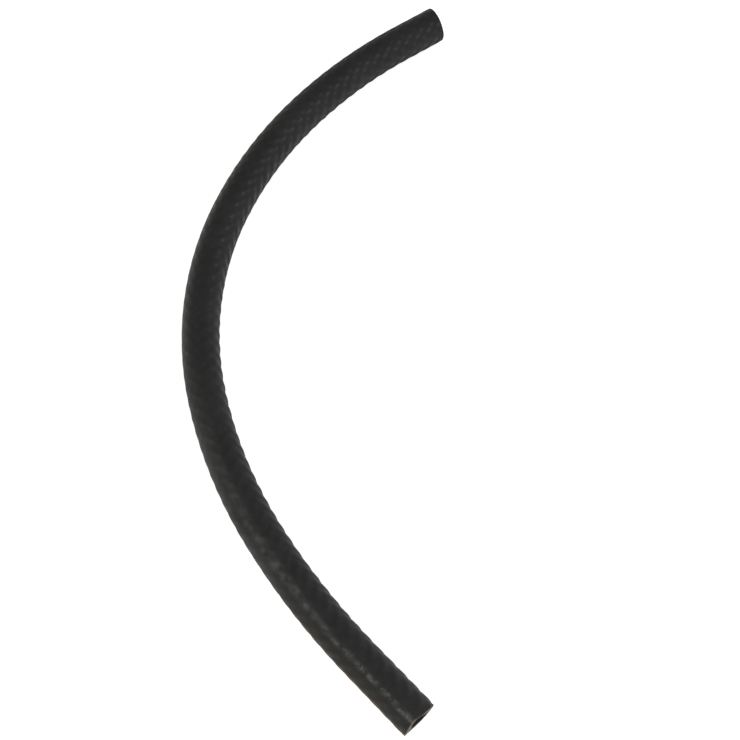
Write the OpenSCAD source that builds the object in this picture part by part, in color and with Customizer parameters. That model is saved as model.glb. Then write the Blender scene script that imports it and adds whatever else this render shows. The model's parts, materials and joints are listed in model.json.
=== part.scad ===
// Braided rubber hose: a short cut length, lying flat in the bend that it keeps from its reel.
// A rubber inner tube, a textile braid of right-hand and left-hand yarns, and a rubber cover.
// The hose lies on the plane z = 0, and the middle of its footprint is the origin.

/* [Rubber] */
// Outside diameter of the hose
outer_d = 12; // [11.5:0.5:16]
// Diameter of the bore
bore_d = 6; // [4:0.5:6]
// Wall of the inner tube
tube_wall = 1; // [0.8:0.1:1.2]
// Depth of the layer between tube and cover that holds the braid
braid_layer = 1; // [0.9:0.05:1.2]

/* [Braid] */
// Yarns that run each way round the hose
strands = 12; // [12:2:16]
// Spacing of the yarn crossings along a straight line on the hose
crossing_pitch = 4.75; // [4:0.25:6]
// Width of a yarn, measured round the hose
yarn_w = 1; // [0.6:0.05:1]

/* [Lie] */
// Straight stretch at the far end
head_straight = 15; // [12:1:30]
// Straight stretch at the near end
tail_straight = 24; // [12:1:40]
// Direction in which the hose runs from its far end, in degrees from +X
head_angle = -146; // [-180:1:-120]

/* [Hidden] */
// The bends from the far end to the near end: radius of the hose's middle line, and degrees turned
BENDS = [[165, 16], [135, 19], [110, 36], [150, 18], [225, 12]];

// Facets to a full turn of a round wall, and of a bend
wall_facets = 96;
bend_facets = 288;

// Step along the hose at which its footprint is measured
footprint_step = 0.5;

// Every second stretch of rubber is this much fuller than its neighbours, and laps them by this
// much, so that all stretches make one solid
seam_step = 0.03;
seam_lap = 0.3;

outer_r = outer_d / 2;
bore_r = bore_d / 2;
tube_r = bore_r + tube_wall;
cover_r = tube_r + braid_layer;

// The yarns bear on the tube and on the cover, with this much between their corners and the rubber.
// It is more on the tube, because a yarn's flat stretches dip a little between its corners.
tube_room = 0.07;
cover_room = 0.04;
braid_in_r = tube_r + tube_room;
braid_out_r = cover_r - cover_room;
braid_depth = braid_out_r - braid_in_r;
// A yarn's thickness as a share of the braid's depth, small enough for the yarns to pass each other
// where they cross, and how far a yarn rises and falls from the middle of the layer
yarn_share = 0.21;
yarn_t = yarn_share * braid_depth;
crimp = (braid_depth - yarn_t) / 2;
layer_r = (braid_in_r + braid_out_r) / 2;

// The yarns cross in columns that run along the hose, and these are the degrees between two columns
column_step = 180 / strands;
yarn_half_angle = yarn_w / 2 / layer_r * 180 / PI;

RIGHT = 1;
LEFT = -1;

function two_digits(n) = str(n < 10 ? "0" : "", n);
function yarn_name(lay, n) = str(lay == RIGHT ? "right" : "left", "_yarn_", two_digits(n));

// ---- The middle line: straight, five bends to the left, straight -------------------------------

bend_count = len(BENDS);

function ahead(angle) = [cos(angle), sin(angle)];
function leftward(angle) = [-sin(angle), cos(angle)];
function bend_length(i) = BENDS[i][0] * BENDS[i][1] * PI / 180;

// Where an arc ends that starts at point p in direction angle and turns left
function arc_end(p, angle, radius, turn) = p + radius * (leftward(angle) - leftward(angle + turn));

// Direction, distance along the hose and place at which bend i begins
function bend_angle(i) = i == 0 ? head_angle : bend_angle(i - 1) + BENDS[i - 1][1];
function bend_start(i) = i == 0 ? head_straight : bend_start(i - 1) + bend_length(i - 1);
function bend_corner(i) = i == 0
    ? head_straight * ahead(head_angle)
    : arc_end(bend_corner(i - 1), bend_angle(i - 1), BENDS[i - 1][0], BENDS[i - 1][1]);

// The last entry of each list is for the straight stretch at the near end
ANGLES = [for (i = [0 : bend_count]) bend_angle(i)];
STARTS = [for (i = [0 : bend_count]) bend_start(i)];
CORNERS = [for (i = [0 : bend_count]) bend_corner(i)];
hose_length = STARTS[bend_count] + tail_straight;

// The place at distance s along the middle line, and the line's direction there: [x, y, degrees]
function on_straight(p, angle, s) = [p.x + s * cos(angle), p.y + s * sin(angle), angle];
function on_bend(i, s) =
    let (
        turn = s / BENDS[i][0] * 180 / PI,
        p = arc_end(CORNERS[i], ANGLES[i], BENDS[i][0], turn)
    )
    [p.x, p.y, ANGLES[i] + turn];
function place(s, i = 0) =
    s <= head_straight ? on_straight([0, 0], head_angle, s)
    : i == bend_count ? on_straight(CORNERS[i], ANGLES[i], s - STARTS[i])
    : s <= STARTS[i + 1] ? on_bend(i, s - STARTS[i])
    : place(s, i + 1);

// The middle of the footprint, which becomes the origin
FOOT = [for (n = [0 : floor(hose_length / footprint_step)]) place(n * footprint_step), place(hose_length)];
foot_low = [
    min([for (p = FOOT) p.x - outer_r * abs(sin(p.z))]),
    min([for (p = FOOT) p.y - outer_r * abs(cos(p.z))])
];
foot_high = [
    max([for (p = FOOT) p.x + outer_r * abs(sin(p.z))]),
    max([for (p = FOOT) p.y + outer_r * abs(cos(p.z))])
];
foot_middle = (foot_low + foot_high) / 2;

// A point of the middle line, lifted so that the hose lies on z = 0
function lying(p) = [p.x - foot_middle.x, p.y - foot_middle.y, outer_r];

// The point at distance s along the hose, radius r from its middle line, and q degrees round it:
// 0 is the inside of the bend, and 90 is the top
function on_hose(s, r, q) =
    let (p = place(s), side = r * cos(q) * leftward(p.z))
    lying(p) + [side.x, side.y, r * sin(q)];

// ---- Rubber ------------------------------------------------------------------------------------

module wall_section(r_out, r_in) {
    difference() {
        circle(r_out, $fn = wall_facets);
        circle(r_in, $fn = wall_facets);
    }
}

module straight_wall(p, angle, length, r_out, r_in) {
    translate(lying(p))
        rotate([90, 0, angle + 90])
            linear_extrude(length)
                wall_section(r_out, r_in);
}

module bent_wall(i, r_out, r_in) {
    radius = BENDS[i][0];
    is_full = i % 2 == 0;
    step = is_full ? seam_step : 0;
    lap = is_full ? seam_lap / radius * 180 / PI : 0;
    translate(lying(CORNERS[i] + radius * leftward(ANGLES[i])))
        rotate(ANGLES[i] - 90 - lap)
            rotate_extrude(angle = BENDS[i][1] + 2 * lap, $fn = bend_facets)
                translate([radius, 0])
                    wall_section(r_out + step, r_in - step);
}

// A round wall along the whole hose, open at both cut ends
module hose_wall(r_out, r_in) {
    straight_wall([0, 0], head_angle, head_straight, r_out, r_in);
    for (i = [0 : bend_count - 1])
        bent_wall(i, r_out, r_in);
    straight_wall(CORNERS[bend_count], ANGLES[bend_count], tail_straight, r_out, r_in);
}

module inner_tube() {
    color("#1c1c1b")
        hose_wall(tube_r, bore_r);
}

module outer_cover() {
    color("#2d2e2d")
        hose_wall(outer_r, cover_r);
}

// ---- Braid -------------------------------------------------------------------------------------

// Each yarn passes over two that run the other way, and then under two. Its rings stand at the
// middles of these floats, half a column past an even column and one pitch apart.
function float_distance(lay, k) = (k + lay / 4) * crossing_pitch;
function float_degrees(lay, n, k) = (2 * lay * (n + k) + 0.5) * column_step;
function float_rise(lay, n, k) = ((n + k) % 2 == 0 ? lay : -lay) * crimp;

// Corners of a yarn's section: across the yarn, and through it. A left-hand yarn is the mirror image
// of a right-hand one.
SECTION = [[-1, -1], [1, -1], [1, 1], [-1, 1]];

function float_ring(lay, n, k) =
    let (
        s = float_distance(lay, k),
        r = layer_r + float_rise(lay, n, k),
        q = float_degrees(lay, n, k)
    )
    [for (c = SECTION) on_hose(s, r + c.y * yarn_t / 2, q + lay * c.x * yarn_half_angle)];

// A yarn is cut off flush with the hose, on the line between two floats
function cut_ring(lay, n, s) =
    let (
        floats = s / crossing_pitch - lay / 4,
        k = floor(floats),
        share = floats - k
    )
    (1 - share) * float_ring(lay, n, k) + share * float_ring(lay, n, k + 1);

function yarn_rings(lay, n) =
    let (
        first = floor(-lay / 4) + 1,
        last = ceil(hose_length / crossing_pitch - lay / 4) - 1
    )
    [
        cut_ring(lay, n, 0),
        for (k = [first : last]) float_ring(lay, n, k),
        cut_ring(lay, n, hose_length)
    ];

// Triangles from one ring's corners, 0 to 3, to the next ring's, 4 to 7. The edge that splits the
// lower face, and the one that splits the upper, join the two corners that are nearest round the
// hose, so that both faces stay out on the round of the layer.
BETWEEN_RINGS = [[0, 1, 4], [1, 5, 4], [1, 2, 6], [1, 6, 5], [2, 3, 7], [2, 7, 6], [3, 0, 4], [3, 4, 7]];
FIRST_END = [[2, 1, 0], [3, 2, 0]];
LAST_END = [[0, 1, 2], [0, 2, 3]];

function shifted(triangles, by) = [for (t = triangles) [for (corner = t) corner + by]];
function turned_over(triangles) = [for (t = triangles) [t.z, t.y, t.x]];

module yarn(lay, n) {
    rings = yarn_rings(lay, n);
    corners = len(SECTION);
    last = corners * (len(rings) - 1);
    triangles = concat(
        FIRST_END,
        [for (first = [0 : corners : last - 1]) each shifted(BETWEEN_RINGS, first)],
        shifted(LAST_END, last)
    );
    color("#b3a78f")
        polyhedron(
            [for (ring = rings) each ring],
            lay == RIGHT ? triangles : turned_over(triangles)
        );
}

inner_tube();
outer_cover();
for (lay = [RIGHT, LEFT], n = [1 : strands])
    yarn(lay, n);
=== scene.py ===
"""Fine form and finishes for a short cut length of braided rubber hose.

The hose lies flat in a long bend. Each part of it is modelled upright and straight, with its length
along Z, its shape is worked in that straight form, and then it is laid along the hose's route.
"""

import json
import logging
import math
from dataclasses import dataclass, field
from enum import Enum
from typing import Any, Callable, Optional

import bmesh
import bpy
import numpy as np
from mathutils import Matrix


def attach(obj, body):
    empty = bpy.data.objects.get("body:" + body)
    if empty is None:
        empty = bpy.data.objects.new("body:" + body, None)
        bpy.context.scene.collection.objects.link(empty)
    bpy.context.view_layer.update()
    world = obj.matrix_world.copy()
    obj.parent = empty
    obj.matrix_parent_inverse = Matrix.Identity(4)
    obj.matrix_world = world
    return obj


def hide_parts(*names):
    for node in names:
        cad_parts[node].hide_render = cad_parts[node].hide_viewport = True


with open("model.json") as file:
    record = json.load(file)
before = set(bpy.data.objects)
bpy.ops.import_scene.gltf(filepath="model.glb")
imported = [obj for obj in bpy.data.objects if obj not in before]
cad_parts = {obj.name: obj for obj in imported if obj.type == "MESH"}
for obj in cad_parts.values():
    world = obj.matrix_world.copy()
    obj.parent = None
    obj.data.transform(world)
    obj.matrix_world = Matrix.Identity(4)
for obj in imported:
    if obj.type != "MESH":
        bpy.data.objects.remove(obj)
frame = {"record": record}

LOG = logging.getLogger("hose")
MM = 0.001

# Two places that are nearer to each other than this are one place, in metres
CLOSE = 1e-6

# The bends from the far end to the near end, as in the CAD source: radius in mm, turn in degrees
BENDS = ((165, 16), (135, 19), (110, 36), (150, 18), (225, 12))

# A yarn is wound from a blank one metre long, and this is how far the blank's longest filament
# stands out of its two ends
STUB = 0.001


class Lay(Enum):
    """The way in which a yarn of the braid winds, seen along the hose."""

    RIGHT = 1
    LEFT = -1


class TubeEnds(Enum):
    """How the two ends of a new tube are left."""

    OPEN = "NOTHING"
    CLOSED = "NGON"


# ---- The hose's route and its measures ----------------------------------------------------------


@dataclass(frozen=True)
class Bend:
    """A stretch of the route with one radius, turning left.

    radius is that of the middle line, in metres, and turn is in radians.
    """

    radius: float
    turn: float


@dataclass(frozen=True)
class HoseRoute:
    """The hose's middle line, which lies level: a straight, bends to the left, and a straight.

    Lengths are in metres. heading is the direction in which the line starts, in radians from +X.
    """

    start: tuple[float, float, float]
    heading: float
    head_straight: float
    tail_straight: float
    bends: tuple[Bend, ...]

    def stretches(self) -> list[tuple[float, float]]:
        """Lists the length and the curvature of each stretch, from the far end to the near end."""
        middle = [(bend.radius * bend.turn, 1 / bend.radius) for bend in self.bends]
        return [(self.head_straight, 0.0), *middle, (self.tail_straight, 0.0)]

    @property
    def length(self) -> float:
        """The length of the whole middle line."""
        return sum(length for length, _ in self.stretches())

    def middle(self, along: np.ndarray) -> tuple[np.ndarray, np.ndarray]:
        """Finds places on the middle line. Past either end, the line runs straight on.

        Args:
            along: Distances along the hose from its far end.

        Returns:
            The x and y of each place, as two columns, and the line's direction there, in radians.
        """
        places = np.zeros((len(along), 2))
        headings = np.zeros(len(along))
        corner = np.array(self.start[:2])
        heading, begun = self.heading, 0.0
        for length, curvature in self.stretches():
            here = along >= begun if begun else np.full(len(along), True)
            steps = along[here] - begun
            places[here] = corner + self._run(heading, curvature, steps)
            headings[here] = heading + curvature * steps
            corner = corner + self._run(heading, curvature, np.array([length]))[0]
            heading += curvature * length
            begun += length
        return places, headings

    @staticmethod
    def _run(heading: float, curvature: float, steps: np.ndarray) -> np.ndarray:
        """Follows a straight or an arc from where it begins.

        Args:
            heading: The direction in which it begins, in radians.
            curvature: One over its radius, or 0 for a straight.
            steps: Distances along it.

        Returns:
            The x and y that each step leads to, as two columns.
        """
        if curvature == 0:
            return np.outer(steps, [math.cos(heading), math.sin(heading)])
        turned = heading + curvature * steps
        x = (np.sin(turned) - math.sin(heading)) / curvature
        y = (math.cos(heading) - np.cos(turned)) / curvature
        return np.column_stack([x, y])

    def lay(self, straight: np.ndarray) -> np.ndarray:
        """Lays the points of a straight, upright hose along the route.

        Args:
            straight: Rows of x, towards the inside of the bends, y, which becomes up, and z, along.

        Returns:
            The same points in the frame.
        """
        places, headings = self.middle(straight[:, 2])
        leftward = np.column_stack([-np.sin(headings), np.cos(headings)])
        level = places + straight[:, :1] * leftward
        return np.column_stack([level, self.start[2] + straight[:, 1]])


@dataclass(frozen=True)
class HoseMeasures:
    """The radii of the hose's layers, in metres, and its route."""

    route: HoseRoute
    outer: float
    bore: float

    @property
    def layer(self) -> float:
        """The radius at which tube and cover meet, and on which the braid lies."""
        return (self.outer + self.bore) / 2

    @classmethod
    def from_record(cls, record: dict[str, Any]) -> "HoseMeasures":
        """Reads the measures from the mounts at the hose's two ends.

        Args:
            record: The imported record.

        Returns:
            The measures, with the bends as they are in the CAD source.
        """
        mounts = {mount["name"]: mount for mount in record["mounts"]}
        head, tail = mounts["head_bore"], mounts["tail_bore"]
        half = head["dims"]["length_mm"] * MM / 2
        start = tuple(p + a * half for p, a in zip(head["pos_m"], head["axis"]))
        route = HoseRoute(
            start=start,
            heading=math.atan2(-head["axis"][1], -head["axis"][0]),
            head_straight=head["dims"]["length_mm"] * MM,
            tail_straight=tail["dims"]["length_mm"] * MM,
            bends=tuple(Bend(radius * MM, math.radians(turn)) for radius, turn in BENDS),
        )
        outer = mounts["head_clip_seat"]["dims"]["r_mm"] * MM
        return cls(route, outer, head["dims"]["r_mm"] * MM)


@dataclass(frozen=True)
class Ripple:
    """A change in the depth of the relief that comes and goes over the hose.

    share is how much it adds and takes away, length the distance between two waves along the hose,
    in metres, turns the number of waves round it, negative where they wind the other way, and start
    its phase at the far end, in radians.
    """

    share: float
    length: float
    turns: int
    start: float

    def at(self, along: np.ndarray, around: np.ndarray) -> np.ndarray:
        """Gives what the ripple adds at distances along the hose and angles round it."""
        phase = 2 * math.pi * along / self.length + self.turns * around + self.start
        return self.share * np.sin(phase)


@dataclass(frozen=True)
class BraidPattern:
    """How the yarns run round the hose, and how far they show through its cover.

    yarns is the number that wind each way, and ridges the number that the cover shows, because two
    neighbouring yarns read as one. Lengths are in metres: pitch is the distance between two
    crossings along the hose. The relief is deeper on the inside of the bends, where the cover is
    pressed together, and the greater pressed is, the sooner it loses that depth to the sides. The
    crossings have crept along the hose there, by creep on each side of drift. lean is how much the
    upper ridge shows above the lower one where they cross.

    knuckle is how far the cover stands out over each crossing of two yarns. The knuckles stand in
    rows along the hose, from the angle row, and the rows wind back by twist, in radians to the
    metre. They begin before the far end by phase, a share of the pitch. The relief is down to
    faintest of its depth at the far end, is full from settling on, and has ripples in its depth.
    """

    yarns: int = 12
    ridges: int = 6
    pitch: float = 4.75 * MM
    inside_relief: float = 0.128 * MM
    outside_relief: float = 0.055 * MM
    pressed: float = 2.5
    drift: float = 0.45 * MM
    creep: float = 0.55 * MM
    lean: float = 0.5
    knuckle: float = 0.030 * MM
    row: float = math.radians(67.4)
    twist: float = -3.2
    phase: float = 0.18
    faintest: float = 0.45
    settling: float = 90 * MM
    ripples: tuple[Ripple, ...] = (
        Ripple(share=0.16, length=41 * MM, turns=2, start=0.0),
        Ripple(share=0.14, length=17.3 * MM, turns=-3, start=0.8),
        Ripple(share=0.12, length=7.9 * MM, turns=5, start=2.1),
    )

    def settled(self, along: np.ndarray, around: np.ndarray) -> np.ndarray:
        """Gives the distance along an unbent hose at which a point of the braid was laid."""
        return along - self.drift - self.creep * np.cos(around)

    def upper(self, around: np.ndarray) -> np.ndarray:
        """Tells which lay is on top: 1 for the right-hand one, down to -1 for the left-hand one."""
        return np.cos(self.yarns / 2 * around - math.pi / 4)

    def crossings(self, along: np.ndarray, around: np.ndarray) -> np.ndarray:
        """Gives 1 over the crossing of two yarns, down to -1 in the gaps between them."""
        run = 2 * math.pi * (along / self.pitch + self.phase)
        return np.cos(self.yarns * (around - self.row - self.twist * along)) * np.cos(run)

    def unevenness(self, along: np.ndarray, around: np.ndarray) -> np.ndarray:
        """Gives the factor, about 1, by which the relief is fuller or fainter at each place."""
        return 1 + sum(ripple.at(along, around) for ripple in self.ripples)

    def fullness(self, along: np.ndarray) -> np.ndarray:
        """Lowers the relief towards the far end, where the hose lies straight."""
        share = np.clip(along / self.settling, 0, 1)
        return self.faintest + (1 - self.faintest) * share * share * (3 - 2 * share)

    def relief(self, along: np.ndarray, around: np.ndarray) -> np.ndarray:
        """Works out how far the cover stands out over the braid.

        Args:
            along: Distances along the hose.
            around: Angles round the hose, from the inside of the bends towards the top.

        Returns:
            Heights in metres above the round of the cover, or below it where they are negative.
        """
        share = ((1 + np.cos(around)) / 2) ** self.pressed
        depth = self.outside_relief + (self.inside_relief - self.outside_relief) * share
        depth = depth * self.unevenness(along, around) * self.fullness(along)
        turn = self.ridges * around
        run = 2 * math.pi * self.settled(along, around) / self.pitch
        on_top = -math.sqrt(2) * self.lean * np.cos(self.ridges / 2 * around - math.pi / 4)
        ridge = (1 + on_top) * np.cos(turn - run) + (1 - on_top) * np.cos(turn + run)
        return depth / 2 * ridge + self.knuckle * self.crossings(along, around)


@dataclass(frozen=True)
class KnifeCut:
    """The uneven face that a knife leaves across the hose.

    stroke is the angle round the hose towards which the blade went. The face leans by lean along
    the stroke, as a slope, and lies back from a square cut by back. It waves by wave, with
    wave_length between two waves. In a strip along the stroke, askew_width wide and askew_at beside
    the middle, it leans by askew more, turned about the place hinge on the stroke. The wall behind
    the face is drawn along with it, the less the deeper it lies, and not from the depth fade on.
    Lengths are in metres.
    """

    stroke: float
    lean: float
    wave: float
    wave_length: float
    back: float = 0.0
    askew: float = 0.0
    askew_at: float = 0.0
    askew_width: float = 6 * MM
    hinge: float = 4 * MM
    fade: float = 5 * MM

    def beyond(self, across: np.ndarray, up: np.ndarray) -> np.ndarray:
        """Gives how far the face lies beyond a square cut.

        Args:
            across: Places in the hose's section, towards the inside of the bends.
            up: The same places' heights above the middle line.

        Returns:
            The distance at each place, in metres.
        """
        reach = across * math.cos(self.stroke) + up * math.sin(self.stroke)
        side = up * math.cos(self.stroke) - across * math.sin(self.stroke)
        strip = np.exp(-((2 * (side - self.askew_at) / self.askew_width) ** 2))
        leaning = self.lean * reach + self.askew * strip * (reach - self.hinge)
        ripple = np.sin(2 * math.pi * side / self.wave_length)
        uneven = self.wave * (ripple + 0.5 * np.cos(math.pi * reach / self.wave_length))
        return leaning + uneven - self.back


@dataclass(frozen=True)
class HoseEnds:
    """The two cut faces of the hose."""

    far: KnifeCut = KnifeCut(
        stroke=math.radians(-12), lean=-0.09, wave=0.05 * MM, wave_length=7 * MM, back=0.50 * MM
    )
    near: KnifeCut = KnifeCut(
        stroke=math.radians(-90), lean=-0.01, wave=0.08 * MM, wave_length=9 * MM,
        askew=0.062, askew_at=-1.8 * MM,
    )

    def trim(self, straight: np.ndarray, length: float) -> np.ndarray:
        """Fits the ends of a straight part to the two cut faces.

        Args:
            straight: The part's points, with z along the hose.
            length: The hose's length.

        Returns:
            The points, moved along the hose the less the further they are from a cut.
        """
        trimmed = straight.copy()
        for cut, place, outward in ((self.far, 0.0, -1), (self.near, length, 1)):
            near = np.clip(1 - np.abs(straight[:, 2] - place) / cut.fade, 0, 1)
            trimmed[:, 2] += outward * near * cut.beyond(straight[:, 0], straight[:, 1])
        return trimmed


# ---- Work on meshes -----------------------------------------------------------------------------


def deselect_everything() -> None:
    """Leaves no object selected."""
    bpy.ops.object.select_all(action="DESELECT")


def work_on(piece: bpy.types.Object, *others: bpy.types.Object) -> None:
    """Selects a piece, and others with it, and makes the piece the active one.

    Args:
        piece: The piece to work on.
        others: Pieces that the next operator takes in as well.
    """
    deselect_everything()
    for each in (piece, *others):
        each.select_set(True)
    bpy.context.view_layer.objects.active = piece


def select_edges(piece: bpy.types.Object, wanted: Callable[[np.ndarray, np.ndarray], bool]) -> None:
    """Selects some edges of a piece that is in edit mode.

    Args:
        piece: The piece.
        wanted: A test on the two ends of an edge, which picks the edge.
    """
    bpy.ops.mesh.select_mode(type="EDGE")
    bpy.ops.mesh.select_all(action="DESELECT")
    work = bmesh.from_edit_mesh(piece.data)
    for edge in work.edges:
        first, second = (np.array(vertex.co) for vertex in edge.verts)
        edge.select_set(bool(wanted(first, second)))
    work.select_flush_mode()
    bmesh.update_edit_mesh(piece.data)


def shift(piece: bpy.types.Object, by: tuple[float, float, float]) -> None:
    """Moves a piece's mesh, and leaves its object at the origin.

    Args:
        piece: The piece, in object mode.
        by: How far it goes along X, Y and Z.
    """
    work_on(piece)
    bpy.ops.transform.translate(value=by)
    bpy.ops.object.transform_apply(location=True, rotation=True, scale=True)


def points_of(piece: bpy.types.Object) -> np.ndarray:
    """Reads the points of a piece's mesh.

    Args:
        piece: The piece.

    Returns:
        A row of x, y and z for each point.
    """
    points = np.zeros(len(piece.data.vertices) * 3, np.float32)
    piece.data.vertices.foreach_get("co", points)
    return points.reshape(-1, 3).astype(float)


def move_points(piece: bpy.types.Object, points: np.ndarray) -> None:
    """Moves the points of a piece's mesh to new places."""
    piece.data.vertices.foreach_set("co", points.astype(np.float32).ravel())
    piece.data.update()


def runs_along(first: np.ndarray, second: np.ndarray) -> bool:
    """Tells whether an edge of an upright tube runs along it."""
    return abs(first[2] - second[2]) > CLOSE


def add_upright_tube(
    radius: float, length: float, sides: int, cuts: tuple[int, ...], ends: TubeEnds
) -> bpy.types.Object:
    """Adds an upright tube that stands on the origin, and cuts it across into rings.

    Args:
        radius: The tube's radius.
        length: Its length.
        sides: The number of its sides.
        cuts: How many cuts each pass makes between two rings.
        ends: Whether its ends are open or closed.

    Returns:
        The tube as an object, left in object mode.
    """
    deselect_everything()
    middle = (0, 0, length / 2)
    bpy.ops.mesh.primitive_cylinder_add(
        vertices=sides, radius=radius, depth=length, end_fill_type=ends.value, location=middle
    )
    tube = bpy.context.object
    bpy.ops.object.transform_apply(location=True, rotation=True, scale=True)
    bpy.ops.object.mode_set(mode="EDIT")
    for count in cuts:
        select_edges(tube, runs_along)
        bpy.ops.mesh.subdivide(number_cuts=count)
    bpy.ops.object.mode_set(mode="OBJECT")
    return tube


def map_surface(
    piece: bpy.types.Object, along: np.ndarray, around: np.ndarray, radius: float
) -> None:
    """Gives a piece a UV map in metres: along the hose, and round it at one radius.

    Args:
        piece: The piece, still with its points in the order of the two arrays.
        along: Each point's distance along the hose.
        around: Each point's angle round the hose.
        radius: The radius at which the angle is measured as a length.
    """
    mesh = piece.data
    corners = np.zeros(len(mesh.loops), int)
    mesh.loops.foreach_get("vertex_index", corners)
    begins = np.zeros(len(mesh.polygons), int)
    mesh.polygons.foreach_get("loop_start", begins)
    turn = around[corners] % (2 * math.pi)
    face = np.searchsorted(begins, np.arange(len(corners)), side="right") - 1
    highest = np.maximum.reduceat(turn, begins)[face]
    turn[(highest - turn) > math.pi] += 2 * math.pi
    layer = mesh.uv_layers.new(name="along_and_round")
    spread = np.column_stack([along[corners], turn * radius])
    layer.data.foreach_set("uv", spread.astype(np.float32).ravel())


def store_value(piece: bpy.types.Object, name: str, values: np.ndarray) -> None:
    """Stores one number for each point of a piece, for its material to read."""
    attribute = piece.data.attributes.new(name, "FLOAT", "POINT")
    attribute.data.foreach_set("value", values.astype(np.float32))


# ---- Materials ----------------------------------------------------------------------------------


Colour = tuple[float, float, float, float]
WHITE: Colour = (1, 1, 1, 1)

# Where a change begins, and where it is full
Span = tuple[float, float]


class Shade:
    """A number that varies over a surface, on which sums can be written as expressions."""

    def __init__(self, recipe: "Recipe", socket: bpy.types.NodeSocket) -> None:
        """Wraps the socket that gives the number."""
        self.recipe = recipe
        self.socket = socket

    def _sum(self, operation: str, first: Any, second: Any = 0.0) -> "Shade":
        """Adds a Math node for one operation and wraps what it gives."""
        node = self.recipe.node("ShaderNodeMath", {"operation": operation}, {0: first, 1: second})
        return Shade(self.recipe, node.outputs[0])

    def __add__(self, other: Any) -> "Shade":
        """self + other."""
        return self._sum("ADD", self, other)

    __radd__ = __add__

    def __sub__(self, other: Any) -> "Shade":
        """self - other."""
        return self._sum("SUBTRACT", self, other)

    def __rsub__(self, other: Any) -> "Shade":
        """other - self."""
        return self._sum("SUBTRACT", other, self)

    def __mul__(self, other: Any) -> "Shade":
        """self * other."""
        return self._sum("MULTIPLY", self, other)

    __rmul__ = __mul__

    def __abs__(self) -> "Shade":
        """abs(self)."""
        return self._sum("ABSOLUTE", self)

    def sine(self) -> "Shade":
        """The sine of the number, in radians."""
        return self._sum("SINE", self)

    def between(self, low: float, high: float) -> "Shade":
        """Rises smoothly from 0 to 1.

        Args:
            low: The number at which the rise begins.
            high: The number at which it ends. It may be the lower one, for a fall.

        Returns:
            The risen number, held at 0 before low and at 1 past high.
        """
        node = self.recipe.node(
            "ShaderNodeMapRange",
            {"interpolation_type": "SMOOTHSTEP"},
            {"Value": self, "From Min": low, "From Max": high},
        )
        return Shade(self.recipe, node.outputs["Result"])


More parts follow.
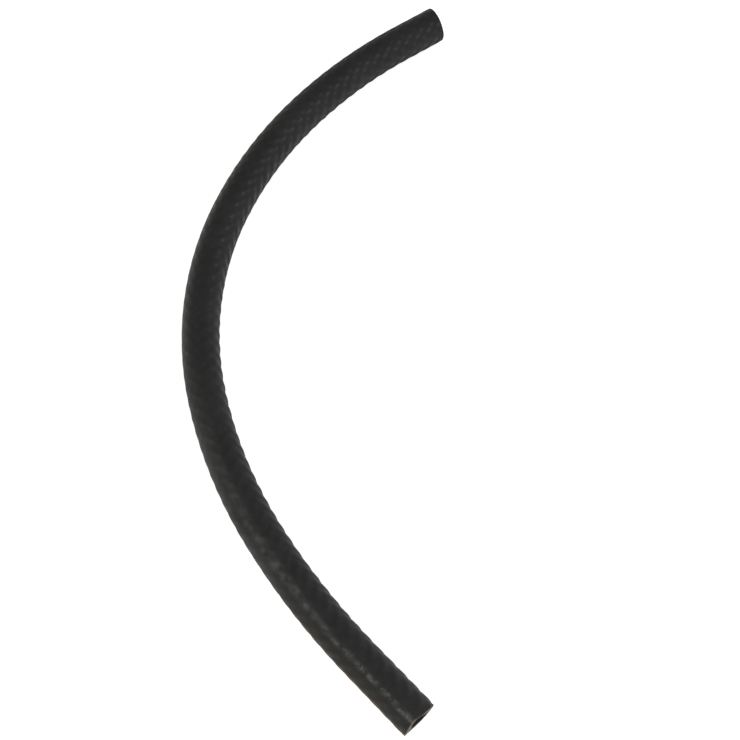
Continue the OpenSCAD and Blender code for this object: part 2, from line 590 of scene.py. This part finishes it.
class Recipe:
    """Builds a material, or the world, out of shader nodes."""

    def __init__(self, owner: Any) -> None:
        """Empties the owner's node tree.

        Args:
            owner: The material or world to build.
        """
        self.owner = owner
        self.owner.use_nodes = True
        self.tree = owner.node_tree
        self.tree.nodes.clear()

    @classmethod
    def of_material(cls, name: str) -> "Recipe":
        """Starts an empty material."""
        return cls(bpy.data.materials.new(name))

    def node(
        self,
        kind: str,
        settings: Optional[dict[str, Any]] = None,
        sockets: Optional[dict[Any, Any]] = None,
    ) -> bpy.types.Node:
        """Adds a node.

        Args:
            kind: The node's type.
            settings: The node's own settings, which are made first.
            sockets: For each input, by name or number, a value, a socket or a Shade to link.

        Returns:
            The node.
        """
        made = self.tree.nodes.new(kind)
        for name, value in (settings or {}).items():
            setattr(made, name, value)
        for key, value in (sockets or {}).items():
            source = value.socket if isinstance(value, Shade) else value
            if isinstance(source, bpy.types.NodeSocket):
                self.tree.links.new(source, made.inputs[key])
            else:
                made.inputs[key].default_value = source
        return made

    def place(self) -> bpy.types.NodeSocket:
        """The point's own place on the piece."""
        return self.node("ShaderNodeTexCoord").outputs["Object"]

    def height(self) -> Shade:
        """The point's height above the floor, in metres."""
        parts = self.node("ShaderNodeSeparateXYZ", sockets={"Vector": self.place()})
        return Shade(self, parts.outputs["Z"])

    def along_and_round(self) -> tuple[Shade, Shade]:
        """Reads where the point lies on the hose.

        Returns:
            Its distance along the hose, and round it from the inside of the bends, in metres.
        """
        surface = self.node("ShaderNodeUVMap", {"uv_map": "along_and_round"}).outputs["UV"]
        parts = self.node("ShaderNodeSeparateXYZ", sockets={"Vector": surface})
        return Shade(self, parts.outputs["X"]), Shade(self, parts.outputs["Y"])

    def stored(self, name: str) -> Shade:
        """A number that was stored for each point of the piece."""
        settings = {"attribute_type": "GEOMETRY", "attribute_name": name}
        return Shade(self, self.node("ShaderNodeAttribute", settings).outputs["Fac"])

    def noise(self, size: float, detail: float, roughness: float = 0.5) -> Shade:
        """Adds soft irregular noise.

        Args:
            size: The size of its lumps, in metres.
            detail: How many finer noises are laid over it.
            roughness: How strong the finer noises are.

        Returns:
            A number from 0 to 1.
        """
        sockets = {
            "Vector": self.place(), "Scale": 1 / size, "Detail": detail, "Roughness": roughness,
        }
        return Shade(self, self.node("ShaderNodeTexNoise", sockets=sockets).outputs["Fac"])

    def specks(self, spacing: float, radius: float, share: float) -> Shade:
        """Scatters small round specks.

        Args:
            spacing: The distance between places where a speck may be.
            radius: A speck's radius.
            share: The share of these places that have one.

        Returns:
            1 on a speck, and 0 elsewhere.
        """
        sockets = {"Vector": self.place(), "Scale": 1 / spacing}
        cells = self.node("ShaderNodeTexVoronoi", sockets=sockets)
        edge, solid = radius / spacing, 0.6 * radius / spacing
        near = Shade(self, cells.outputs["Distance"]).between(edge, solid)
        parts = self.node("ShaderNodeSeparateColor", sockets={"Color": cells.outputs["Color"]})
        chosen = Shade(self, parts.outputs["Red"]).between(1 - share, 1 - 0.8 * share)
        return near * chosen

    def blend(self, mask: Any, low: Any, high: Any) -> bpy.types.NodeSocket:
        """Mixes two colours by a mask: low where it is 0, and high where it is 1."""
        mix = self.node("ShaderNodeMix", {"data_type": "RGBA"}, {0: mask, 6: low, 7: high})
        return mix.outputs[2]

    def bump(self, height: Shade, depth: float) -> bpy.types.NodeSocket:
        """Turns a height into a normal.

        Args:
            height: A height of about 0 to 1.
            depth: The depth of the relief in metres.

        Returns:
            The normal's socket.
        """
        sockets = {"Height": height, "Distance": depth, "Strength": 1.0}
        return self.node("ShaderNodeBump", sockets=sockets).outputs["Normal"]

    def finish(
        self, colour: Any, rough: Any, normal: Any, gloss: float = 0.3
    ) -> bpy.types.Material:
        """Ends the material in a Principled surface.

        Args:
            colour: The surface's colour.
            rough: Its roughness.
            normal: Its normal.
            gloss: How strongly it mirrors, from 0 to 1.

        Returns:
            The material, ready to be given to a piece.
        """
        sockets = {"Base Color": colour, "Roughness": rough, "Normal": normal}
        sockets["Specular IOR Level"] = gloss
        surface = self.node("ShaderNodeBsdfPrincipled", sockets=sockets)
        self.node("ShaderNodeOutputMaterial", sockets={"Surface": surface.outputs["BSDF"]})
        return self.owner


@dataclass(frozen=True)
class CoverFinish:
    """Matt black rubber with fine grain, painted highlights on its knuckles and dust between them.

    Lengths are in metres. Three lines run along the hose, and their places are measured round it
    from the inside of the bends: held_line, along which the knuckle highlights are
    painted, scuff_line, along which a pale band of painted highlight runs, and
    brown_line_place, along which a thin brown line runs. The outside of the bends is painted olive
    as rim light, which turns to a grey bloom towards the near end. Each span is a pair of distances
    from the far end. What it is named for begins at the first of them and is full at the second.
    low is a pair of heights above the floor instead, below which the cover is dull. Pale specks are
    scattered all over.
    """

    rubber: Colour = (0.0058, 0.0061, 0.0059, 1)
    greyed: Colour = (0.0120, 0.0122, 0.0117, 1)
    dust: Colour = (0.052, 0.050, 0.045, 1)
    rubbed: Colour = (0.049, 0.051, 0.051, 1)
    bloom: Colour = (0.030, 0.030, 0.028, 1)
    scuff: Colour = (0.111, 0.112, 0.110, 1)
    brown_tint: Colour = (0.160, 0.108, 0.062, 1)
    painted_rim_light: Colour = (0.040, 0.040, 0.022, 1)
    grain: float = 0.26 * MM
    grain_depth: float = 0.018 * MM
    held_line: float = 5.8 * MM
    scuff_line: float = 11.7 * MM
    brown_line_place: float = 18.2 * MM
    held: Span = (110 * MM, 50 * MM)
    highlight_band_grows: Span = (160 * MM, 300 * MM)
    highlight_band_narrows: Span = (235 * MM, 265 * MM)
    marks_grow: Span = (250 * MM, 275 * MM)
    brown_line_grows: Span = (225 * MM, 262 * MM)
    bloom_grows: Span = (90 * MM, 150 * MM)
    shine_grows: Span = (160 * MM, 90 * MM)
    dull_far: Span = (105 * MM, 50 * MM)
    dull_near: Span = (232 * MM, 250 * MM)
    low: Span = (7.5 * MM, 3.5 * MM)

    def painted_highlight_band(self, recipe: Recipe) -> Shade:
        """Lays out a pale band of painted highlight, which grows along the hose towards its near
        end.

        Args:
            recipe: The material under way.

        Returns:
            The mask of its patches, one to each pitch of the braid, and of the fine marks in them.
        """
        along, around = recipe.along_and_round()
        wander = 1.4 * MM * (recipe.noise(6 * MM, 1.0) - 0.5)
        off = abs(around - self.scuff_line - wander)
        wave = (along * (2 * math.pi / BraidPattern.pitch)).sine()
        patches = (0.60 + 0.22 * wave) * recipe.noise(2.2 * MM, 2.0).between(0.22, 0.66)
        narrowed = off + 0.7 * MM * along.between(*self.highlight_band_narrows)
        soft = narrowed.between(2.3 * MM, 0.3 * MM) * patches * along.between(*self.highlight_band_grows)
        marks = off.between(1.0 * MM, 0.1 * MM) * recipe.noise(1.1 * MM, 1.5).between(0.48, 0.66)
        # Both the soft patches and the fine marks are painted highlight
        return 0.85 * soft + 0.30 * marks * along.between(*self.marks_grow)

    def rubbed_off(self, recipe: Recipe) -> Shade:
        """Lays out highlights painted on the knuckles, strongest near the top of the hose's far
        end.

        Args:
            recipe: The material under way.

        Returns:
            How much of the painted highlight shows.
        """
        along, around = recipe.along_and_round()
        held = abs(around - self.held_line).between(3.4 * MM, 1.2 * MM) * along.between(*self.held)
        # Painted highlight on every knuckle, much stronger along one line near the top of the far
        # end
        return self.knuckles(recipe) * (0.02 + 0.18 * held)

    @staticmethod
    def knuckles(recipe: Recipe) -> Shade:
        """Picks out the knuckles, with a soft edge."""
        return recipe.stored("knuckle").between(0.1, 0.9)

    def brown_line_mask(self, recipe: Recipe) -> Shade:
        """Lays out the thin brown line along the outside of the hose, towards its near end.

        Args:
            recipe: The material under way.

        Returns:
            The line's mask.
        """
        along, around = recipe.along_and_round()
        off = abs(around - self.brown_line_place + 1.2 * MM * (recipe.noise(2.5 * MM, 2.0) - 0.5))
        # A thin brown line near the outer edge, towards the near end
        line = off.between(1.4 * MM, 0.5 * MM) * recipe.noise(1.2 * MM, 3.0).between(0.25, 0.5)
        return line * along.between(*self.brown_line_grows)

    def material(self) -> bpy.types.Material:
        """Builds the material.

        Returns:
            The material, ready to be given to a piece.
        """
        recipe = Recipe.of_material("cover_rubber")
        along, _ = recipe.along_and_round()
        crest = recipe.stored("crest")
        lumps = recipe.noise(9 * MM, 3.0)
        grain = recipe.noise(self.grain, 3.0, roughness=0.6)
        dusty = crest.between(0.45, 0.1) * recipe.noise(3 * MM, 3.0).between(0.42, 0.75)
        outside = recipe.stored("outside") * recipe.noise(14 * MM, 3.0).between(0.3, 0.6)
        brown_line_mask = self.brown_line_mask(recipe)
        grey = lumps.between(0.35, 0.7) * 0.6 + crest * 0.4
        colour = recipe.blend(grey, self.rubber, self.greyed)
        # Painted warm rim light on the outside of the bends, turning to a grey bloom towards the
        # near end
        worn = recipe.blend(along.between(*self.bloom_grows), self.painted_rim_light, self.bloom)
        for mask, laid_over in (
            (dusty * 0.22, self.dust),
            # Painted rim light, and bloom towards the near end, on the outside of the bends
            (outside * 0.6, worn),
            (recipe.specks(spacing=2.6 * MM, radius=0.12 * MM, share=0.10) * 0.8, self.scuff),
            # A band of painted highlight towards the near end
            (self.painted_highlight_band(recipe), self.scuff),
            (brown_line_mask * 0.9, self.brown_tint),
            # Painted highlights on the knuckles
            (self.rubbed_off(recipe), self.rubbed),
        ):
            colour = recipe.blend(mask, colour, laid_over)
        shine = 0.03 + 0.13 * along.between(*self.shine_grows)
        polished = 0.11 * crest.between(0.45, 0.80) + self.knuckles(recipe) * shine
        handled = along.between(*self.dull_far) + 0.5 * along.between(*self.dull_near)
        low = recipe.height().between(*self.low)
        dull = 0.30 * low + 0.34 * outside * handled + 0.3 * brown_line_mask
        rough = 0.60 + 0.08 * grain + 0.06 * lumps - polished + dull
        return recipe.finish(colour, rough, recipe.bump(grain, self.grain_depth))


@dataclass(frozen=True)
class CutFinish:
    """Rubber where the knife went through: drawn in fine lines, and tan with dust of the yarns.

    It is dark in two sectors, about dark_top and about painted_shade_foot; the one at the foot is
    painted shade. Their places are measured round the hose from the inside of the bends, in metres
    at its outer radius.
    """

    rubber: Colour = (0.010, 0.009, 0.008, 1)
    dusty: Colour = (0.085, 0.066, 0.046, 1)
    fibre: Colour = (0.32, 0.25, 0.170, 1)
    line: float = 0.35 * MM
    line_depth: float = 0.04 * MM
    crumb: float = 0.16 * MM
    dark_top: float = 9.0 * MM
    painted_shade_foot: float = 27.0 * MM

    def material(self) -> bpy.types.Material:
        """Builds the material.

        Returns:
            The material, ready to be given to a piece.
        """
        recipe = Recipe.of_material("cut_rubber")
        lines = recipe.noise(self.line, 3.0, roughness=0.7)
        crumbs = recipe.noise(self.crumb, 2.0)
        _, around = recipe.along_and_round()
        top = abs(around - self.dark_top).between(2.2 * MM, 1.0 * MM)
        foot = abs(around - self.painted_shade_foot).between(5.0 * MM, 3.2 * MM)
        colour = recipe.blend(crumbs.between(0.45, 0.70) * 0.6, self.dusty, self.fibre)
        # Dark rubber in two sectors: painted shade at the foot, and plain dark rubber at the top
        colour = recipe.blend(top + foot, colour, self.rubber)
        return recipe.finish(colour, 0.72 + 0.15 * lines, recipe.bump(lines, self.line_depth))


@dataclass(frozen=True)
class TubeFinish:
    """Smooth black rubber with faint rings, as it comes off its mandrel. ring is their spacing."""

    rubber: Colour = (0.005, 0.005, 0.0048, 1)
    worn: Colour = (0.009, 0.009, 0.0085, 1)
    ring: float = 2.1 * MM
    ring_depth: float = 0.02 * MM

    def material(self) -> bpy.types.Material:
        """Builds the material.

        Returns:
            The material, ready to be given to a piece.
        """
        recipe = Recipe.of_material("tube_rubber")
        along, _ = recipe.along_and_round()
        drawn = recipe.noise(1.6 * MM, 3.0)
        rings = (along * (2 * math.pi / self.ring)).sine() * 0.1
        colour = recipe.blend(drawn.between(0.35, 0.7), self.rubber, self.worn)
        relief = recipe.bump(drawn + rings, self.ring_depth)
        return recipe.finish(colour, 0.60 + 0.16 * drawn, relief, gloss=0.2)


@dataclass(frozen=True)
class YarnFinish:
    """Undyed spun yarn. Its cut ends are dark at the hose's top, with painted shade at its foot.

    Lengths are in metres. Its filaments are filament wide and turn once in twist along the yarn.
    The dark ends grow upwards over the heights darkened_top, and the painted shade downwards over
    painted_shade_heights.
    """

    thread: Colour = (0.44, 0.36, 0.25, 1)
    shadow: Colour = (0.22, 0.165, 0.10, 1)
    darkened_end: Colour = (0.014, 0.013, 0.012, 1)
    filament: float = 0.11 * MM
    filament_depth: float = 0.03 * MM
    twist: float = 0.6 * MM
    darkened_top: Span = (9.9 * MM, 10.3 * MM)
    painted_shade_heights: Span = (4.0 * MM, 3.2 * MM)

    def material(self) -> bpy.types.Material:
        """Builds the material.

        Returns:
            The material, ready to be given to a piece.
        """
        recipe = Recipe.of_material("braid_yarn")
        along, around = recipe.along_and_round()
        turned = around * (2 * math.pi / self.filament) + along * (2 * math.pi / self.twist)
        filaments = turned.sine() * 0.5 + 0.5
        slubs = recipe.noise(0.9 * MM, 3.0)
        colour = recipe.blend(filaments * 0.7 + slubs * 0.3, self.shadow, self.thread)
        height = recipe.height()
        # Dark cut ends at the top, and painted shade on them at the foot
        darkened_and_shaded = height.between(*self.darkened_top) + height.between(*self.painted_shade_heights)
        colour = recipe.blend(darkened_and_shaded, colour, self.darkened_end)
        relief = recipe.bump(filaments, self.filament_depth)
        return recipe.finish(colour, 0.78 + 0.12 * slubs, relief)


# ---- The hose -----------------------------------------------------------------------------------


def outside_of_bends(around: np.ndarray) -> np.ndarray:
    """Picks out the outside of the bends.

    Args:
        around: Angles round the hose, from the inside of the bends.

    Returns:
        1 within 40 degrees of the outermost line, falling to 0 at 64 degrees from it.
    """
    steepness, threshold = 3, 1.3
    return np.clip(-np.cos(around) * steepness - threshold, 0, 1)


@dataclass
class RubberWall:
    """A round wall of rubber along the whole hose, open at both cut ends.

    Lengths are in metres. sides is the number of facets round the wall, and the two tuples say how
    often each skin is cut across. rim is the round of the edges that the knife and handling leave.
    Edges sharper than crease, in radians, stay sharp, and faces at the ends count as cut where the
    share of their normal that points along the hose is over cut_facing. The inner skin stands out
    of the outer one by lip at both ends while the two are being joined, so that the join goes from
    one to the other and not across the hole.
    """

    name: str
    stands_for: str
    slot: str
    measures: HoseMeasures
    ends: HoseEnds
    inner: float
    outer: float
    sides: int
    outer_cuts: tuple[int, ...]
    inner_cuts: tuple[int, ...]
    rim: float
    relief: Optional[BraidPattern] = None
    lip: float = 1.5 * MM
    crease: float = math.radians(50)
    cut_facing: float = 0.7

    def build(self, skin: bpy.types.Material, cut: bpy.types.Material) -> bpy.types.Object:
        """Models the wall and lays it along the route.

        Args:
            skin: The material of the wall inside and outside.
            cut: The material of its two cut faces.

        Returns:
            The finished piece.
        """
        length = self.measures.route.length
        wall = add_upright_tube(self.outer, length, self.sides, self.outer_cuts, TubeEnds.OPEN)
        lining = add_upright_tube(
            self.inner, length + 2 * self.lip, self.sides, self.inner_cuts, TubeEnds.OPEN
        )
        shift(lining, (0, 0, -self.lip))
        work_on(wall, lining)
        bpy.ops.object.join()
        wall.name = wall.data.name = self.name
        self._close_ends(wall, length)
        wall.data.materials.append(skin)
        wall.data.materials.append(cut)
        self._mark_cut_faces(wall, length)
        self._shape(wall, length)
        work_on(wall)
        bpy.ops.object.shade_smooth_by_angle(angle=self.crease)
        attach(wall, "root")
        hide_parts(self.stands_for)
        return wall

    def _close_ends(self, wall: bpy.types.Object, length: float) -> None:
        """Joins the two skins at both ends, brings the lips back and rounds the rims there.

        Args:
            wall: The wall, which stands upright and is active.
            length: Its length.
        """
        bpy.ops.object.mode_set(mode="EDIT")
        for place, lip in ((0.0, -self.lip), (length, length + self.lip)):
            select_edges(wall, lambda *edge: all(self._is_open(p, place, lip) for p in edge))
            bpy.ops.mesh.bridge_edge_loops(number_cuts=4, interpolation="LINEAR")
        bpy.ops.object.mode_set(mode="OBJECT")
        points = points_of(wall)
        points[:, 2] = np.clip(points[:, 2], 0, length)
        move_points(wall, points)
        bpy.ops.object.mode_set(mode="EDIT")
        bpy.ops.mesh.select_all(action="SELECT")
        bpy.ops.mesh.normals_make_consistent(inside=False)
        select_edges(wall, lambda a, b: self._is_rim(a, b, length))
        bpy.ops.mesh.bevel(offset=self.rim, segments=3, profile=0.5, affect="EDGES")
        bpy.ops.object.mode_set(mode="OBJECT")

    def _is_open(self, point: np.ndarray, place: float, lip: float) -> bool:
        """Tells whether a point is on the open edge of one of the two skins.

        Args:
            point: The point.
            place: How high the open edge of the outer skin is.
            lip: How high that of the inner skin is.

        Returns:
            True for a point on either open edge.
        """
        is_inner = abs(math.hypot(point[0], point[1]) - self.inner) < CLOSE
        return abs(point[2] - (lip if is_inner else place)) < CLOSE

    def _is_rim(self, first: np.ndarray, second: np.ndarray, length: float) -> bool:
        """Tells whether an edge runs round one of the four rims.

        Args:
            first: One end of the edge.
            second: Its other end.
            length: The wall's length.

        Returns:
            True for an edge of a rim.
        """
        at_end = all(min(abs(p[2]), abs(p[2] - length)) < CLOSE for p in (first, second))
        radii = [math.hypot(p[0], p[1]) for p in (first, second)]
        rims = (self.inner, self.outer)
        return at_end and any(all(abs(r - rim) < CLOSE for r in radii) for rim in rims)

    def _mark_cut_faces(self, wall: bpy.types.Object, length: float) -> None:
        """Gives the faces that lie across the ends the second material.

        Args:
            wall: The wall, which stands upright.
            length: Its length.
        """
        for face in wall.data.polygons:
            at_end = min(abs(face.center.z), abs(face.center.z - length)) < self.rim / 2
            if at_end and abs(face.normal.z) > self.cut_facing:
                face.material_index = 1

    def _shape(self, wall: bpy.types.Object, length: float) -> None:
        """Works the relief and the uneven cuts into the straight wall, and lays it along the route.

        Args:
            wall: The wall, which stands upright.
            length: Its length.
        """
        straight = points_of(wall)
        along = straight[:, 2].copy()
        around = np.arctan2(straight[:, 1], straight[:, 0])
        radius = np.hypot(straight[:, 0], straight[:, 1])
        map_surface(wall, along, around, self.measures.outer)
        if self.relief:
            height = self.relief.relief(along, around)
            share = np.clip((radius - self.inner) / (self.outer - self.inner), 0, 1)
            straight[:, :2] *= (1 + height * share / radius)[:, None]
            deepest = self.relief.inside_relief
            store_value(wall, "crest", np.clip(height / deepest, -1, 1) / 2 + 0.5)
            store_value(wall, "knuckle", np.clip(self.relief.crossings(along, around), 0, 1))
            store_value(wall, "outside", outside_of_bends(around))
        straight = self.ends.trim(straight, length)
        move_points(wall, self.measures.route.lay(straight))


@dataclass
class BraidYarn:
    """One flat yarn of the braid, from cut to cut, with a few loose filaments at each end.

    Lengths are in metres. number counts the yarns of its lay from 1. The yarn swings in and out by
    rise, stands out of a square cut by proud, and its longest filament by tuft. least_tuft is the
    share of tuft that is left on the outside of the bends. sway and curl say how far a filament's
    tip bends across the yarn and through it, in widths and thicknesses of the yarn. Edges sharper
    than crease, in radians, stay sharp.
    """

    lay: Lay
    number: int
    measures: HoseMeasures
    ends: HoseEnds
    pattern: BraidPattern
    width: float = 1.3 * MM
    thickness: float = 0.30 * MM
    rise: float = 0.27 * MM
    proud: float = 0.05 * MM
    tuft: float = 0.30 * MM
    least_tuft: float = 0.03
    sway: float = 0.30
    curl: float = 0.80
    crease: float = math.radians(60)

    @property
    def name(self) -> str:
        """The piece's name."""
        return f"{self.lay.name.lower()}_lay_{self.number:02d}"

    @property
    def node(self) -> str:
        """The name of the CAD node for which the piece stands."""
        return f"{self.lay.name.lower()}_yarn_{self.number:02d}"

    def around(self, along: np.ndarray) -> np.ndarray:
        """Finds the yarn's middle, round the hose.

        The crossings have crept by an amount that depends on the angle, so it is worked out again
        from the last one until it settles, which three rounds are enough for.

        Args:
            along: Distances along the hose.

        Returns:
            The angle round the hose at each of them.
        """
        step = 2 * math.pi / self.pattern.yarns
        angle = self.lay.value * step * (self.number + along / self.pattern.pitch)
        for _ in range(3):
            laid = self.pattern.settled(along, angle)
            angle = self.lay.value * step * (self.number + laid / self.pattern.pitch)
        return angle

    def build(self, blank: bpy.types.Object, finish: bpy.types.Material) -> bpy.types.Object:
        """Winds a copy of a straight blank round the hose.

        Args:
            blank: A round bar one metre across and one metre long, cut into rings, with
                filaments that stand out of its two ends.
            finish: The yarn's material.

        Returns:
            The finished piece.
        """
        yarn = blank.copy()
        yarn.data = blank.data.copy()
        yarn.name = yarn.data.name = self.name
        bpy.context.scene.collection.objects.link(yarn)
        length = self.measures.route.length
        section = self._frayed(points_of(yarn), length)
        along = section[:, 2] * (length + 2 * self.proud) - self.proud
        middle = self.around(along)
        climb = self.lay.value * self.pattern.upper(middle)
        lift = self.rise * climb * (1.5 - 0.5 * climb**2)  # flat where it floats over two others
        radius = self.measures.layer + lift + section[:, 1] * self.thickness
        turn = middle - section[:, 0] * self.width / self.measures.layer
        map_surface(yarn, along, section[:, 0] * self.width, 1.0)
        straight = np.column_stack([radius * np.cos(turn), radius * np.sin(turn), along])
        move_points(yarn, self.measures.route.lay(self.ends.trim(straight, length)))
        yarn.data.materials.clear()
        yarn.data.materials.append(finish)
        work_on(yarn)
        bpy.ops.object.shade_smooth_by_angle(angle=self.crease)
        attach(yarn, "root")
        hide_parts(self.node)
        return yarn

    def _frayed(self, section: np.ndarray, length: float) -> np.ndarray:
        """Draws the filaments out to their length and bends them, each yarn's in its own way.

        They stand out further on the inside of the bends than on the outside.

        Args:
            section: The points of the blank.
            length: The hose's length.

        Returns:
            The points with the filaments beyond the two cuts moved.
        """
        frayed = section.copy()
        out = np.clip(np.abs(section[:, 2] - 0.5) - 0.5, 0, None) / STUB
        side = np.sign(section[:, 2] - 0.5)
        inward = np.cos(self.around(np.array([0.0, length])))
        share = np.clip(0.2 + 0.8 * inward, self.least_tuft, 1)
        reach = self.tuft * np.where(side > 0, share[1], share[0])
        # Which way a filament bends depends on its place, its yarn and its end of the hose
        across = np.sin(9 * section[:, 0] + 2.3 * self.number + 2 * side)
        through = np.cos(7 * section[:, 0] + 1.7 * self.number - side)
        frayed[:, 2] += side * out * (reach / length - STUB)
        frayed[:, 0] += self.sway * out**2 * across
        frayed[:, 1] += self.curl * out**2 * through
        return frayed


@dataclass
class BraidedHose:
    """The whole hose: tube, braid and cover. path_points is the number of points of its route."""

    measures: HoseMeasures
    ends: HoseEnds = field(default_factory=HoseEnds)
    pattern: BraidPattern = field(default_factory=BraidPattern)
    path_points: int = 147

    def build(self) -> list[bpy.types.Object]:
        """Builds every piece, the cover first."""
        cut = CutFinish().material()
        return [self._cover(cut), self._tube(cut), *self._braid()]

    def _cover(self, cut: bpy.types.Material) -> bpy.types.Object:
        """Args:
            cut: The material of its cut faces.

        Returns:
            The cover.
        """
        wall = RubberWall(
            "hose_cover", "outer_cover", "cover_rubber", self.measures, self.ends,
            inner=self.measures.layer, outer=self.measures.outer, sides=96,
            outer_cuts=(36, 19), inner_cuts=(99,), rim=0.16 * MM, relief=self.pattern,
        )
        cover = wall.build(CoverFinish().material(), cut)
        route = self.measures.route
        steps = np.linspace(0, route.length, self.path_points)
        path = route.lay(np.column_stack([0 * steps, 0 * steps, steps]))
        route.length
        2 * self.measures.outer
        return cover

    def _tube(self, cut: bpy.types.Material) -> bpy.types.Object:
        """Builds the inner tube.

        Args:
            cut: The material of its cut faces.

        Returns:
            The tube.
        """
        wall = RubberWall(
            "hose_tube", "inner_tube", "tube_rubber", self.measures, self.ends,
            inner=self.measures.bore, outer=self.measures.layer, sides=64,
            outer_cuts=(99,), inner_cuts=(99,), rim=0.10 * MM,
        )
        return wall.build(TubeFinish().material(), cut)

    def _braid(self) -> list[bpy.types.Object]:
        """Builds all yarns from one straight blank.

        Returns:
            The yarns of the right-hand lay, and then those of the left-hand one.
        """
        finish = YarnFinish().material()
        blank = self._blank()
        numbers = range(1, self.pattern.yarns + 1)
        yarns = [
            BraidYarn(lay, number, self.measures, self.ends, self.pattern).build(blank, finish)
            for lay in Lay
            for number in numbers
        ]
        bpy.data.objects.remove(blank)
        return yarns

    @staticmethod
    def _blank() -> bpy.types.Object:
        """Models a straight yarn, one metre across and one metre long, with filaments at its ends.

        Returns:
            The yarn as an object. Its filaments are rooted in its ends, as deep as STUB.
        """
        bar = add_upright_tube(
            radius=0.5, length=1.0, sides=10, cuts=(15, 15), ends=TubeEnds.CLOSED
        )
        filaments = []
        # Each filament has its own place in the bar's section, and its own length
        for across in (-0.36, -0.2, -0.05, 0.12, 0.25, 0.38):
            through = 0.25 * math.cos(25 * across)
            reach = (1.2 + 0.8 * math.sin(40 * across)) * STUB
            for foot in (STUB - reach, 1 - STUB):
                filament = add_upright_tube(
                    radius=0.045, length=reach, sides=5, cuts=(2,), ends=TubeEnds.CLOSED
                )
                shift(filament, (across, through, foot))
                filaments.append(filament)
        work_on(bar, *filaments)
        bpy.ops.object.join()
        return bar


# ---- The studio ---------------------------------------------------------------------------------


@dataclass(frozen=True)
class SoftBox:
    """A square lamp that faces the middle of the hose.

    azimuth is the side that it stands on, in degrees from +X towards +Y, and elevation its height
    in degrees. distance and size are in metres. level is how bright it alone makes a white surface
    that faces it.
    """

    name: str
    azimuth: float
    elevation: float
    size: float
    level: float
    distance: float = 0.9
    tint: tuple[float, float, float] = (1, 1, 1)

    def place(self) -> bpy.types.Object:
        """Sets up the lamp.

        Returns:
            The lamp as an object.
        """
        lamp = bpy.data.lights.new(self.name, "AREA")
        lamp.shape = "SQUARE"
        lamp.size = self.size
        lamp.energy = self.level * (math.pi * self.distance) ** 2
        lamp.color = self.tint
        stand = bpy.data.objects.new(self.name, lamp)
        bpy.context.scene.collection.objects.link(stand)
        side, height = math.radians(self.azimuth), math.radians(self.elevation)
        flat = self.distance * math.cos(height)
        stand.location = (
            flat * math.cos(side), flat * math.sin(side), self.distance * math.sin(height)
        )
        stand.rotation_euler = (math.pi / 2 - height, 0, side + math.pi / 2)
        return stand


@dataclass(frozen=True)
class Studio:
    """A pale floor in a white room, with soft lamps and the camera.

    Lengths are in metres and angles in degrees. The floor lies lower than z = 0 by floor_drop, and
    floor_glow is the share of its shadows that is lost in white.
    """

    camera_place: tuple[float, float, float] = (0.01921, -0.16734, 0.3628)
    camera_tilt: float = 23.2
    camera_turn: float = 0.69
    lens_mm: float = 60.0
    floor_drop: float = 0.13 * MM
    floor_size: float = 6.0
    floor_glow: float = 0.66
    floor_colour: Colour = (0.78, 0.78, 0.78, 1)
    room_light: float = 0.48
    lamps: tuple[SoftBox, ...] = (
        SoftBox("front_box", azimuth=-62, elevation=38, size=0.24, level=0.28),
        SoftBox("right_box", azimuth=6, elevation=42, size=0.20, level=0.19),
        SoftBox("left_box", azimuth=-160, elevation=50, size=0.30, level=0.20),
        SoftBox(
            "warm_box", azimuth=186, elevation=12, size=0.30, level=0.08, tint=(1.0, 0.80, 0.55)
        ),
    )

    def camera(self) -> None:
        """Sets up the camera."""
        data = bpy.data.cameras.new("camera")
        data.lens = self.lens_mm
        data.clip_start = 0.01
        stand = bpy.data.objects.new("camera", data)
        stand.location = self.camera_place
        stand.rotation_euler = (math.radians(self.camera_tilt), 0, math.radians(self.camera_turn))
        bpy.context.scene.collection.objects.link(stand)
        bpy.context.scene.camera = stand

    def build(self) -> None:
        """Sets up the floor, the room and the lamps."""
        deselect_everything()
        bpy.ops.mesh.primitive_plane_add(size=self.floor_size, location=(0, 0, -self.floor_drop))
        floor = bpy.context.object
        floor.name = "floor"
        floor.data.materials.append(self._floor_finish())
        for lamp in self.lamps:
            lamp.place()
        self._room()
        bpy.context.scene.view_settings.view_transform = "Standard"

    def _floor_finish(self) -> bpy.types.Material:
        """Builds a pale floor, which is seen as white except in the hose's shadow.

        Returns:
            The floor's material.
        """
        recipe = Recipe.of_material("pale_floor")
        rays = recipe.node("ShaderNodeLightPath")
        plain = recipe.node("ShaderNodeBsdfDiffuse", sockets={"Color": self.floor_colour})
        glow = recipe.node("ShaderNodeEmission", sockets={"Color": WHITE, "Strength": 1.0})
        look = recipe.node("ShaderNodeAddShader", sockets={0: plain.outputs[0], 1: glow.outputs[0]})
        seen = Shade(recipe, rays.outputs["Is Camera Ray"])
        for kind in ("Is Glossy Ray", "Is Transmission Ray"):
            seen = seen + Shade(recipe, rays.outputs[kind])
        for share in (self.floor_glow, seen):
            sockets = {0: share, 1: plain.outputs[0], 2: look.outputs[0]}
            look = recipe.node("ShaderNodeMixShader", sockets=sockets)
        recipe.node("ShaderNodeOutputMaterial", sockets={"Surface": look.outputs[0]})
        return recipe.owner

    def _room(self) -> None:
        """Sets up a plain room that lights the hose evenly and weakly."""
        world = bpy.data.worlds.new("plain_room")
        bpy.context.scene.world = world
        recipe = Recipe(world)
        sockets = {"Color": WHITE, "Strength": self.room_light}
        plain = recipe.node("ShaderNodeBackground", sockets=sockets)
        recipe.node("ShaderNodeOutputWorld", sockets={"Surface": plain.outputs["Background"]})


def main() -> None:
    """Builds the camera, the hose and the studio."""
    logging.basicConfig(level=logging.INFO, format="%(message)s")
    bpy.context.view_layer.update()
    studio = Studio()
    studio.camera()
    for piece in BraidedHose(HoseMeasures.from_record(frame["record"])).build():
        piece.data.calc_loop_triangles()
        LOG.info("%s: %d triangles", piece.name, len(piece.data.loop_triangles))
    studio.build()


if __name__ == "__main__":
    main()
